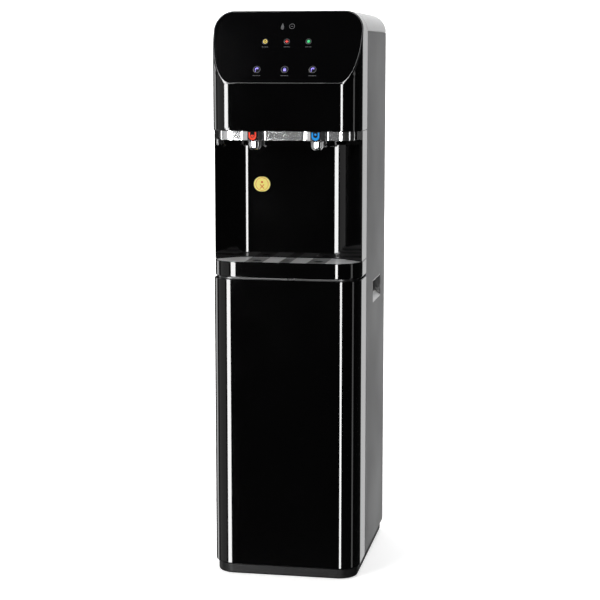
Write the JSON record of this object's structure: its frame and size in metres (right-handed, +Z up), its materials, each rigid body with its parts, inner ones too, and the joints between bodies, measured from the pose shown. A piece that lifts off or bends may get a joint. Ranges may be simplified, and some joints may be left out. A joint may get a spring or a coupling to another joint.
{
  "type": "water dispenser",
  "caption": "Floor-standing hot and cold water dispenser with a tilted control panel, tap alcove, drip tray, clip-on lower door, filter bay and rear condenser.",
  "frame": {"origin": "on the floor under the middle of the cabinet", "axes": "+X to the right of someone facing the taps, +Y from the front to the back, +Z up"},
  "size_m": [0.3, 0.39, 1.14],
  "materials": {
    "plinth_black": "satin moulded",
    "rubber_black": "matte",
    "zinc_steel": "galvanised",
    "panel_grey": "satin powder coat",
    "condenser_black": "satin",
    "screw_steel": "zinc plated",
    "cap_grey": "satin",
    "gloss_black": "high gloss",
    "panel_gloss": "high gloss",
    "indicator_light": "backlit",
    "board_green": "solder mask",
    "chrome": "polished",
    "satin_black": "satin",
    "valve_cream": "natural",
    "key_black": "gloss",
    "mark_red": "gloss",
    "mark_blue": "gloss",
    "label_yellow": "printed film",
    "tray_grey": "satin",
    "grip_grey": "satin moulded",
    "stainless": "drawn",
    "foam_white": "expanded foam",
    "copper": "drawn copper",
    "foil_insulation": "foil faced",
    "brass": "satin",
    "compressor_black": "gloss enamel",
    "filter_white": "moulded",
    "tube_white": "natural",
    "fitting_blue": "moulded",
    "cap_red": "moulded",
    "rocker_red": "gloss",
    "rocker_green": "gloss"
  },
  "bodies": {
    "cabinet": {"base_plinth": "plinth_black", "rubber_feet": "rubber_black", "base_pan": "zinc_steel", "side_panel_left": "panel_grey", "side_panel_right": "panel_grey", "rear_panel": "zinc_steel", "condenser": "condenser_black", "rear_screws": "screw_steel", "top_cover": "cap_grey", "head_housing": "gloss_black", "control_panel": "panel_gloss", "indicator_lenses": "indicator_light", "display_board": "board_green", "tap_bezel": "chrome", "tap_housing": "satin_black", "hot_valve_body": "valve_cream", "cold_valve_body": "valve_cream", "hot_spout": "chrome", "cold_spout": "chrome", "key_pins": "screw_steel", "alcove_panel": "gloss_black", "warning_label": "label_yellow", "tray_shelf": "satin_black", "grip_left": "grip_grey", "grip_right": "grip_grey", "cold_tank": "stainless", "cold_tank_lid": "foam_white", "cold_tank_insulation": "foam_white", "evaporator_coil": "copper", "hot_tank": "stainless", "hot_tank_insulation": "foil_insulation", "heater_band": "brass", "compressor": "compressor_black", "compressor_grommets": "rubber_black", "refrigerant_tubes": "copper", "filter_manifold": "filter_white", "partition_panel": "zinc_steel", "power_board": "board_green", "inlet_valve": "valve_cream", "water_tubing": "tube_white", "water_inlet_fitting": "fitting_blue", "drain_outlet": "filter_white", "power_module": "satin_black"},
    "hot_key": {"hot_key": "key_black", "hot_key_mark": "mark_red"},
    "hot_lock": {"hot_lock_slide": "mark_red"},
    "hot_plunger": {"hot_plunger": "valve_cream"},
    "cold_key": {"cold_key": "key_black", "cold_key_mark": "mark_blue"},
    "cold_plunger": {"cold_plunger": "valve_cream"},
    "drip_tray": {"drip_tray": "gloss_black"},
    "drip_grille": {"drip_grille": "tray_grey"},
    "front_door": {"front_door": "gloss_black"},
    "filter_1": {"filter_cartridge_1": "filter_white"},
    "filter_2": {"filter_cartridge_2": "filter_white"},
    "filter_3": {"filter_cartridge_3": "filter_white"},
    "filter_4": {"filter_cartridge_4": "filter_white"},
    "heat_switch": {"heat_switch": "rocker_red"},
    "cool_switch": {"cool_switch": "rocker_green"},
    "drain_cap": {"drain_cap": "cap_red"}
  },
  "joints": [
    {"name": "hot_key_press", "type": "hinge", "parent": "cabinet", "child": "hot_key", "pos_m": [-0.063, -0.183, 0.901], "axis": [1, 0, 0], "range_deg": [0, 14], "stiffness_Nm_per_rad": 0.05, "springref_deg": -1.15},
    {"name": "hot_plunger_slide", "type": "slide", "parent": "cabinet", "child": "hot_plunger", "axis": [0, 1, 0], "range_m": [0, 0.0026]},
    {"name": "cold_key_press", "type": "hinge", "parent": "cabinet", "child": "cold_key", "pos_m": [0.063, -0.183, 0.901], "axis": [1, 0, 0], "range_deg": [0, 14], "stiffness_Nm_per_rad": 0.05, "springref_deg": -1.15},
    {"name": "cold_plunger_slide", "type": "slide", "parent": "cabinet", "child": "cold_plunger", "axis": [0, 1, 0], "range_m": [0, 0.0026]},
    {"name": "hot_lock_release", "type": "slide", "parent": "hot_key", "child": "hot_lock", "axis": [0, 0, 1], "range_m": [0, 0.0025]},
    {"name": "drip_tray_pull", "type": "slide", "parent": "cabinet", "child": "drip_tray", "axis": [0, -1, 0], "range_m": [0, 0.11]},
    {"name": "drip_grille_lift", "type": "slide", "parent": "drip_tray", "child": "drip_grille", "axis": [0, 0, 1], "range_m": [0, 0.06]},
    {"name": "front_door_pull", "type": "slide", "parent": "cabinet", "child": "front_door", "axis": [0, -1, 0], "range_m": [0, 0.15]},
    {"name": "filter_1_turn", "type": "hinge", "parent": "cabinet", "child": "filter_1", "pos_m": [-0.1005, -0.103, 0.3], "axis": [0, 0, 1], "range_deg": [0, 90]},
    {"name": "filter_2_turn", "type": "hinge", "parent": "cabinet", "child": "filter_2", "pos_m": [-0.0335, -0.103, 0.3], "axis": [0, 0, 1], "range_deg": [0, 90]},
    {"name": "filter_3_turn", "type": "hinge", "parent": "cabinet", "child": "filter_3", "pos_m": [0.0335, -0.103, 0.3], "axis": [0, 0, 1], "range_deg": [0, 90]},
    {"name": "filter_4_turn", "type": "hinge", "parent": "cabinet", "child": "filter_4", "pos_m": [0.1005, -0.103, 0.3], "axis": [0, 0, 1], "range_deg": [0, 90]},
    {"name": "heat_switch_rock", "type": "hinge", "parent": "cabinet", "child": "heat_switch", "pos_m": [0.062, 0.163, 1.035], "axis": [1, 0, 0], "range_deg": [-16, 0]},
    {"name": "cool_switch_rock", "type": "hinge", "parent": "cabinet", "child": "cool_switch", "pos_m": [0.108, 0.163, 1.035], "axis": [1, 0, 0], "range_deg": [-16, 0]},
    {"name": "drain_cap_turn", "type": "hinge", "parent": "cabinet", "child": "drain_cap", "pos_m": [0.09, 0.177, 0.275], "axis": [0, 1, 0], "range_deg": [0, 720]}
  ],
  "couplings": [
    {"joint": "hot_plunger_slide", "follows": "hot_key_press", "m_per_rad": 0.01},
    {"joint": "cold_plunger_slide", "follows": "cold_key_press", "m_per_rad": 0.01}
  ]
}
